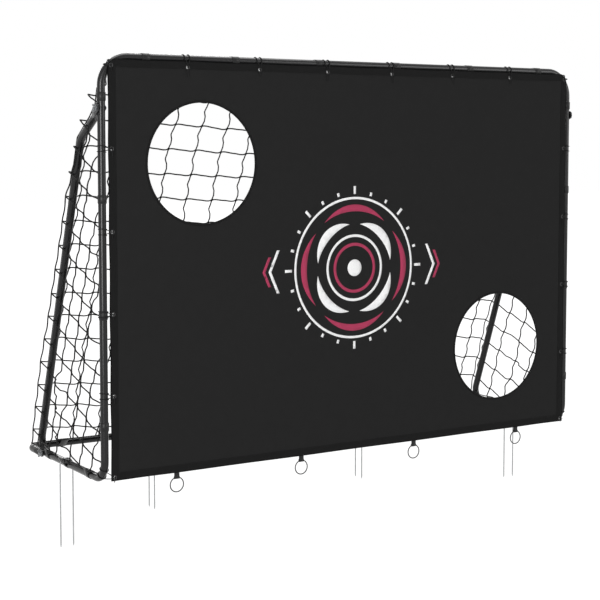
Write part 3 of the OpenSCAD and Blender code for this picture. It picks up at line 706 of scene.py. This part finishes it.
def line_points(a, b, step):
    n = max(1, round(math.dist(a, b) / step))
    return [(a[0] + (b[0] - a[0]) * i / n, a[1] + (b[1] - a[1]) * i / n) for i in range(n)]


def loop_of(corners, step):
    out = []
    for a, b in zip(corners, corners[1:] + corners[:1]):
        out += line_points(a, b, step)
    return out


def circle(c, r, n=96):
    angles = [2 * math.pi * i / n for i in range(n)]
    return [(c[0] + r * math.cos(a), c[1] + r * math.sin(a)) for a in angles]


def panel(name, outer, holes, spacing, y_mid, thick, mat, warp=True):
    """A flat piece of cloth with real thickness that follows the sheet's play."""
    flat, faces = flat_mesh(outer, holes, spacing)
    soup = Soup()
    for x, z in flat:
        px, pz = edge_in(x, z) if warp else (x, z)
        soup.v.append((px, y_mid + sheet_y(x, z), pz))
    for f in faces:
        a, b, c = (flat[i] for i in f)
        if (b[0] - a[0]) * (c[1] - a[1]) - (b[1] - a[1]) * (c[0] - a[0]) < 0:
            f = f[::-1]
        soup.face(f, [flat[i] for i in f])
    ob = soup.build(name, mat, "sheet_cloth")
    mod = ob.modifiers.new("thickness", 'SOLIDIFY')
    mod.thickness = thick
    mod.offset = 0
    return ob


def outline(inset, step):
    """The sheet's edge moved in, as points a step apart, with its two top corners rounded."""
    r = max(CORNER_CUT - inset, .004)
    x, top, low = SHEET_HALF - inset, SHEET_TOP - inset, SHEET_LOW + inset
    arcs = [(s * (x - r) + r * math.cos(a), top - r + r * math.sin(a))
            for s, start in ((1, 0), (-1, 90))
            for a in (math.radians(start + 15 * i) for i in range(7))]
    return loop_of([(-x, low), (x, low)] + arcs, step)


EYES = ([(x, EYE_TOP) for x in TOP_EYES]
        + [(s * EYE_HALF, z) for s in (-1, 1) for z in SIDE_EYES[:-1]])
eye_loops = [circle(p, EYE_R, 20) for p in EYES]
hole_loops = [circle(c, HOLE_R) for c in HOLES]
cloth = panel("target_cloth", outline(.0006, .018), hole_loops + eye_loops, .018,
              MID_Y, CLOTH_T, CLOTH)
hem = panel("hem_band", outline(.0024, .012), [outline(HEM_W, .012)] + eye_loops, .0125,
            MID_Y, HEM_T, HEM)
fold = panel("hem_fold", outline(0, .012), [outline(.0030, .012)], .05, MID_Y, FOLD_T, EDGE)
for ob in (hem, fold):
    bevel = ob.modifiers.new("round", 'BEVEL')
    bevel.width = .0006
    bevel.segments = 2
for i, c in enumerate(HOLES):
    panel(f"hole_binding_{i + 1}", circle(c, HOLE_R + .009), [circle(c, HOLE_R)],
                           .05, MID_Y, BINDING_T, HEM, warp=False)


def stitches(name, loops, pitch=.0042, size=.0028):
    """Rows of single stitches that stand on the cloth's two faces."""
    soup = Soup()
    h = size / 2
    for loop, lift in loops:
        dist = 0
        pts = loop + [loop[0]]
        for a, b in zip(pts, pts[1:]):
            seg = math.dist(a, b)
            if seg < 1e-9:
                continue
            while dist < seg:
                t = dist / seg
                x, z = a[0] + (b[0] - a[0]) * t, a[1] + (b[1] - a[1]) * t
                dx, dz = (b[0] - a[0]) / seg * h, (b[1] - a[1]) / seg * h
                px, pz = edge_in(x, z)
                for side in (-1, 1):
                    y = MID_Y + sheet_y(x, z) + side * lift
                    deep, proud = y - side * .0002, y + side * .00022
                    sweep(soup, [(px - dx, deep, pz - dz), (px, proud, pz),
                                 (px + dx, deep, pz + dz)], .00028, 4)
                dist += pitch
            dist -= seg
    soup.build(name, THREAD, "sheet_cloth")


stitches("hem_stitching", [(outline(.0048, .05), .0018), (outline(.0262, .05), .0018)])
stitches("hole_stitching",
         [(circle(c, HOLE_R + r), .0014) for c in HOLES for r in (.002, .007)])

# A plain printed target in the middle: thin rings, a bull, ticks and open chevrons
PRINT_C = (-.025, .716)
PRINT_Y = MID_Y - CLOTH_T / 2 - .0004


def print_piece(name, outer, holes, mat):
    panel(name, outer, holes, .015, PRINT_Y, PRINT_T, mat, warp=False)


def polar(r, deg):
    a = math.radians(deg)
    return (PRINT_C[0] + r * math.cos(a), PRINT_C[1] + r * math.sin(a))


def print_ring(name, r, width, mat):
    print_piece(name, circle(PRINT_C, r + width, 128), [circle(PRINT_C, r, 128)], mat)


def print_arc(name, r, width, start, end, mat, n=48):
    """Part of a ring that thins out to points at both ends."""
    def edge(i, reach):
        return polar(r + reach * math.sin(math.pi * i / n), start + (end - start) * i / n)
    outer = [edge(i, width) for i in range(n + 1)]
    inner = [edge(i, -width * .3) for i in range(n - 1, 0, -1)]
    print_piece(name, outer + inner, [], mat)


def print_chevron(name, x, h, width, mat):
    """An open arrowhead that points away from the middle."""
    sign = math.copysign(1, x)
    arm = h * .45
    pts = [(0, h), (width, h), (arm + width, 0), (width, -h), (0, -h), (arm, 0)]
    corners = [(PRINT_C[0] + x + sign * a, PRINT_C[1] + b) for a, b in pts]
    print_piece(name, loop_of(corners, .012), [], mat)


print_ring("print_ring_outer", .262, .009, INK_WHITE)
print_ring("print_ring_inner", .118, .010, INK_WHITE)
print_ring("print_ring_red", .084, .012, INK_RED)
print_piece("print_bull", circle(PRINT_C, .032, 48), [], INK_WHITE)
for i in range(4):
    print_arc(f"print_arc_{i}", .222, .020, 90 * i + 52, 90 * i + 128, INK_RED)
    print_arc(f"print_sweep_{i}", .168, .026, 90 * i + 8, 90 * i + 82, INK_WHITE)
for i in range(24):
    a, b = 15 * i - 1.0, 15 * i + 1.0
    r0, r1 = (.282, .312) if i % 3 == 0 else (.282, .296)
    tick = [polar(r0, a), polar(r1, a), polar(r1, b), polar(r0, b)]
    print_piece(f"print_tick_{i}", tick, [], INK_WHITE)
for sg, nm in SIDES:
    print_chevron(f"print_chevron_white_{nm}", sg * .335, .080, .012, INK_WHITE)
    print_chevron(f"print_chevron_red_{nm}", sg * .372, .055, .012, INK_RED)

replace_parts(cloth, "target_sheet")


# ---------------------------------------------------------------- ties
def turn_points(c, axis, r, sweep_deg=352, n=30):
    """Points on a turn round a tube, from its front, that drifts along the tube."""
    axis = Vector(axis).normalized()
    front = Vector((0, -1, 0))
    u = (front - axis * front.dot(axis)).normalized()
    w = axis.cross(u)
    out = []
    for i in range(n + 1):
        a = math.radians(sweep_deg) * i / n
        out.append(Vector(c) + (u * math.cos(a) + w * math.sin(a)) * r
                   + axis * (TURN_DRIFT * i / n))
    return out


def knot_and_ends(soup, p, seed, tail=1):
    """A small overhand knot and its two loose ends, which start above and below it."""
    rnd = random.Random(seed)
    across, up = Vector((1, 0, 0)), Vector((0, 0, 1))
    p = Vector(p)
    pts = []
    for i in range(18):
        a = 2 * math.pi * i / 18
        x = math.sin(a) + 2 * math.sin(2 * a)
        z = math.cos(a) - 2 * math.cos(2 * a)
        y = -math.sin(3 * a)
        pts.append(p + Vector((x * .00115, y * .0009, z * .00115)))
    sweep(soup, pts, CORD_R * .92, 7, closed=True)
    for s in (-1, 1):
        l = rnd.uniform(.009, .017) * tail
        lean = rnd.uniform(-.5, .5)
        start = .004
        middle = Vector((0, -.0008, -l * .35))
        end = [p, p + up * s * start + Vector((0, -.0012, 0)),
               p + up * s * (start + l * .5) + middle + across * lean * .004,
               p + up * s * (start + l * .7) + Vector((0, .0004, -l)) + across * lean * .006]
        path = smooth_path(end)
        sweep(soup, path, CORD_R)
        blob(soup, path[-1], (CORD_R * 1.15, CORD_R * 1.15, CORD_R * 1.3), rings=4, sides=6)


def tie(soup, eyelet, turns, edge_fn, seed, tail=1):
    """turns: (middle, tube direction, seat radius)."""
    knot = Vector((eyelet[0], KNOT_Y, eyelet[1]))
    for c, axis, seat in turns:
        axis = Vector(axis).normalized()
        full = turn_points(Vector(c) - axis * (TURN_DRIFT / 2), axis, seat + .00015 + CORD_R)
        edge = edge_fn(full[-1], knot)
        near_knot = knot + (edge - knot).normalized() * .0012
        sweep(soup, smooth_path(full + [edge, near_knot], 2), CORD_R, 7)
    through = [knot, knot + Vector((0, .003, .0008)), Vector((eyelet[0], -.0165, eyelet[1])),
               Vector((eyelet[0], -.0153, eyelet[1]))]
    sweep(soup, through, CORD_R)
    knot_and_ends(soup, knot, seed, tail)


def side_edge(sg):
    """Where a cord from the post turns over the sheet's side edge."""
    x_edge = sg * SHEET_HALF

    def fn(p, k):
        t = (x_edge - p.x) / (k.x - p.x)
        q = p.lerp(k, min(max(t, 0), 1))
        return Vector((x_edge + sg * .0004, EDGE_Y, q.z))
    return fn


def top_edge(p, k):
    t = (p.z - SHEET_TOP) / (p.z - k.z)
    q = p.lerp(k, min(max(t, 0), 1))
    return Vector((q.x, EDGE_Y, SHEET_TOP + .0004))


def corner_turn(centre, knot, out):
    """A cord over the sheet's corner, round the outside of the elbow and behind it."""
    r = TUBE_R + .0014

    def at(reach, y):
        return centre + out * reach + Vector((0, y, 0))
    path = [knot, at(.1115, -.0206), at(.1150, -.0165), at(.1164, -.0080)]
    for t in range(0, 181, 15):
        b = math.radians(t)
        path.append(at(CORNER_R + r * math.cos(b), r * math.sin(b)))
    path.append(at(.0858, -.0075))
    return smooth_path(path, 3)


soup = Soup()
for i, x in enumerate(TOP_EYES[1:-1]):
    turns = [((x + s * TURN_OFF, 0, FRAME_H), (1, 0, 0), TUBE_R) for s in (-1, 1)]
    tie(soup, (x, EYE_TOP), turns, top_edge, 20 + i)
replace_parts(soup.build("top_ties", TIE, "tie_cord"), "ties_top")
for sg, nm in SIDES:
    soup = Soup()
    fn = side_edge(sg)
    px = sg * HALF_W
    for i, z in enumerate(SIDE_EYES[1:-1]):
        turns = []
        for s in (-1, 1):
            zt = z + s * TURN_OFF
            on_strap = any(abs(zt - q) < .0175 for q in STRAP_ZS)
            turns.append(((px, 0, zt), (0, 0, 1), TUBE_R + (ON_STRAP if on_strap else 0)))
        tie(soup, (sg * EYE_HALF, z), turns, fn, 40 + i + 10 * sg)
    # foot: two turns on the elbow
    centre = Vector((px, FOOT_R, TUBE_R + FOOT_R))
    turns = []
    for deg in (25, 50):
        a = math.radians(deg)
        middle = centre - FOOT_R * Vector((0, math.cos(a), math.sin(a)))
        turns.append((middle, (0, -math.sin(a), math.cos(a)), TUBE_R))
    tie(soup, (sg * EYE_HALF, EYE_LOW), turns, fn, 70 + sg, .45)
    # top corner: two turns round the elbow
    centre = Vector((px - sg * CORNER_R, 0, FRAME_H - CORNER_R))
    knot = Vector((sg * EYE_HALF, KNOT_Y, EYE_TOP))
    for deg in (40, 50):
        a = math.radians(deg)
        out = Vector((sg * math.cos(a), 0, math.sin(a)))
        sweep(soup, corner_turn(centre, knot, out), CORD_R, 7)
    knot_and_ends(soup, knot, 90 + sg)
    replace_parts(soup.build(f"{nm}_ties", TIE, "tie_cord"), f"ties_{nm}")


# ---------------------------------------------------------------- straps and tabs
def band(soup, path, axis, width, thick):
    """A flat strap swept along a path; axis is across its width. Its edges are rounded."""
    axis = Vector(axis).normalized()
    pts = [Vector(p) for p in path]
    n = len(pts)
    e = thick * .35
    shape = [(-width / 2, -thick / 2 + e), (-width / 2 + e, -thick / 2),
             (width / 2 - e, -thick / 2), (width / 2, -thick / 2 + e),
             (width / 2, thick / 2 - e), (width / 2 - e, thick / 2),
             (-width / 2 + e, thick / 2), (-width / 2, thick / 2 - e)]
    m = len(shape)
    base = len(soup.v)
    length, dist = 0, []
    for i, p in enumerate(pts):
        a = pts[i - 1] if i else p
        b = pts[i + 1] if i < n - 1 else p
        nrm = axis.cross((b - a).normalized()).normalized()
        for w, h in shape:
            soup.v.append(tuple(p + axis * w + nrm * h))
        if i:
            length += (p - pts[i - 1]).length
        dist.append(length)
    for i, (v0, v1) in enumerate(zip(dist, dist[1:])):
        here, there = base + i * m, base + (i + 1) * m
        for k in range(m):
            q = (k + 1) % m
            u0, u1 = shape[k][0], shape[q][0]
            if abs(u0 - u1) < 1e-6:
                u1 += .001
            soup.face([here + k, here + q, there + q, there + k],
                      [(u0, v0), (u1, v0), (u1, v1), (u0, v1)])
    soup.face([base + k for k in range(m - 1, -1, -1)], [(0, 0)] * m)
    soup.face([base + (n - 1) * m + k for k in range(m)], [(0, 0)] * m)


def strap(soup, c, axis, to, seed):
    """A tight loop round a tube and the net's edge cord, as a belt runs round two wheels."""
    rnd = random.Random(seed)
    c, to = Vector(c), Vector(to)
    axis = Vector(axis).normalized()
    d = to - c
    d -= axis * d.dot(axis)
    reach = d.length
    d.normalize()
    side = axis.cross(d)
    big = TUBE_R + .0003 + STRAP_T / 2
    small = EDGE_R + .0004 + STRAP_T / 2
    lean = math.acos((big - small) / reach)

    def wheel(middle, r, a, b, n):
        return [middle + (d * math.cos(v) + side * math.sin(v)) * r for v in spread(a, b, n)]
    loop = (wheel(c + d * reach, small, -lean, lean, 9)
            + wheel(c, big, lean, 2 * math.pi - lean, 41))
    band(soup, loop + [loop[0]], axis, STRAP_W + rnd.uniform(-.0008, .0008), STRAP_T)
    # the overlapping fastening tab on the far side
    start = rnd.uniform(2.2, 2.9)
    band(soup, wheel(c, big + STRAP_T * .9, start, start + 1.3, 13), axis, .0275, STRAP_T * .7)


def webbing(soup, name, cad_node):
    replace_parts(soup.build(name, WEB, "webbing"), cad_node)


soup = Soup()
for i, x in enumerate(spread(.166 - HALF_W, HALF_W - .166, 6)):
    strap(soup, (x, 0, FRAME_H), (1, 0, 0), (x, *NET_TOP), i)
webbing(soup, "top_straps", "straps_top")
soup = Soup()
for i, x in enumerate(spread(.121 - HALF_W, HALF_W - .121, 6)):
    strap(soup, (x, FRAME_D, TUBE_R), (1, 0, 0), (x, *NET_LOW), 10 + i)
webbing(soup, "rear_straps", "straps_rear")
for sg, nm in SIDES:
    soup = Soup()
    px = sg * HALF_W
    for i, z in enumerate(STRAP_ZS):
        strap(soup, (px, 0, z), (0, 0, 1), (sg * EDGE_X, EDGE_BACK, z), 20 + i)
    for i, y in enumerate(STRAP_YS):
        cord = (sg * side_x(y, NET_FOOT), y, NET_FOOT)
        strap(soup, (px, y, TUBE_R), (0, 1, 0), cord, 30 + i)
    webbing(soup, f"{nm}_straps", f"straps_{nm}")

# The loops that hold the rings: out of the hem, round the wire and back
LOOP_R, LOOP_W, LOOP_T = .0050, .020, .0010
LEG = [(.0009, .0300), (.0011, .0150), (.0014, .0065)]
soup = Soup()
for x in RING_XS:
    pivot = Vector((x, -.017, -.003))
    pts = [pivot + Vector((0, y, z)) for y, z in LEG]
    for k in range(13):
        a = math.radians(62 - 304 * k / 12)
        pts.append(pivot + Vector((0, LOOP_R * math.cos(a), LOOP_R * math.sin(a))))
    pts += [pivot + Vector((0, -y, z)) for y, z in LEG[::-1]]
    band(soup, smooth_path(pts, 2), (1, 0, 0), LOOP_W, LOOP_T)
webbing(soup, "ring_loops", "ring_tabs")

# Welded rings: the coated wire swells a little at its weld
WELD_AT = 3.6
for i in range(1, 5):
    lo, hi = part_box(f"ring_{i}")
    centre = (Vector(lo) + Vector(hi)) / 2
    reach = (hi[0] - lo[0]) / 2 - RING_R
    angles = spread(0, 2 * math.pi, 73)[:-1]
    soup = Soup()
    sweep(soup, [centre + Vector((math.cos(a), 0, math.sin(a))) * reach for a in angles],
          RING_R, 12, closed=True,
          radii=[RING_R * (1 + .14 * math.exp(-((a - WELD_AT) / .06) ** 2)) for a in angles])
    wire = soup.build(f"ring_wire_{i}", RING, "ring_wire", body=f"ring_{i}")
    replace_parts(wire, f"ring_{i}")

# ---------------------------------------------------------------- finishes of the CAD nodes
FINISHES = [("washers", ZINC), ("eyelets", EYELET), ("top_bolt", ZINC), ("rear_bolt", ZINC),
            ("top_wing_nut", ZINC), ("rear_wing_nut", ZINC), ("snap_button", ZINC),
            ("stake", WIRE), ("ring_tabs", TUBE), ("ring_", RING), ("", TUBE)]
for name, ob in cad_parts.items():
    ob.data.materials.clear()
    ob.data.materials.append(next(mat for start, mat in FINISHES if name.startswith(start)))


# ---------------------------------------------------------------- floor, world and light
def seen_rays(nt):
    """1 for the rays that see the background itself, 0 for those that light the object."""
    rays = add(nt, "ShaderNodeLightPath").outputs
    direct = math_node(nt, 'MAXIMUM', rays["Is Camera Ray"], rays["Is Glossy Ray"])
    return math_node(nt, 'MAXIMUM', direct, rays["Is Transmission Ray"])


FLOOR_Z, FLOOR_REACH = -.304, 30
me = bpy.data.meshes.new("floor")
me.from_pydata([(x * FLOOR_REACH, y * FLOOR_REACH, FLOOR_Z)
                for x, y in ((-1, -1), (1, -1), (1, 1), (-1, 1))], [], [(0, 1, 2, 3)])
floor = bpy.data.objects.new("floor", me)
bpy.context.collection.objects.link(floor)
m, nt, b = nodes_of("floor_paper")
paper = ramp_color(nt, cloud_noise(nt, 4, 6), grey(.86), grey(.88))
nt.links.new(paper, b.inputs["Base Color"])
b.inputs["Roughness"].default_value = .9
b.inputs["Specular IOR Level"].default_value = .1
glow = add(nt, "ShaderNodeEmission", {"Color": (1, 1, 1, 1), "Strength": 1.17})
away = add(nt, "ShaderNodeVectorMath", {0: coords(nt)}, operation='LENGTH').outputs["Value"]
fade = add(nt, "ShaderNodeMapRange", {"Value": away, "From Min": 1.6, "From Max": 4.5,
                                      "To Min": .76, "To Max": 1.0})
share = math_node(nt, 'MULTIPLY', seen_rays(nt), fade.outputs[0])
mixer = add(nt, "ShaderNodeMixShader", {0: share, 1: b.outputs[0], 2: glow.outputs[0]})
nt.links.new(mixer.outputs[0], nt.nodes["Material Output"].inputs["Surface"])
me.materials.append(m)

world = bpy.data.worlds.new("studio")
bpy.context.scene.world = world
world.use_nodes = True
nt = world.node_tree
bg = nt.nodes["Background"]
bg.inputs["Color"].default_value = (1, 1, 1, 1)
nt.links.new(map_range(nt, seen_rays(nt), .34, 1.0), bg.inputs["Strength"])

# name: place, target, size, power
LIGHTS = {
    "key": ((-5.6, -4.75, 1.5), (-1.06, 0, 1.3), (2.9, 3.5), 360),
    "high": ((-4.5, -6.0, 4.2), (0, 0, .8), (2.6, 2.6), 30),
    "fill": ((4.5, -5.0, 2.5), (0, 0, .8), (3.0, 3.0), 110),
    "top": ((0, .5, 4.5), (0, .2, .5), (3.5, 2.5), 120),
    "back": ((1.0, 5.5, 3.0), (0, .3, .8), (3.0, 2.0), 120),
}
for name, (place, target, size, power) in LIGHTS.items():
    lamp = bpy.data.lights.new(name, 'AREA')
    lamp.shape = 'RECTANGLE'
    lamp.size, lamp.size_y = size
    lamp.energy = power
    ob = bpy.data.objects.new(name, lamp)
    ob.location = place
    ob.rotation_euler = (Vector(target) - Vector(place)).to_track_quat('-Z', 'Y').to_euler()
    bpy.context.collection.objects.link(ob)
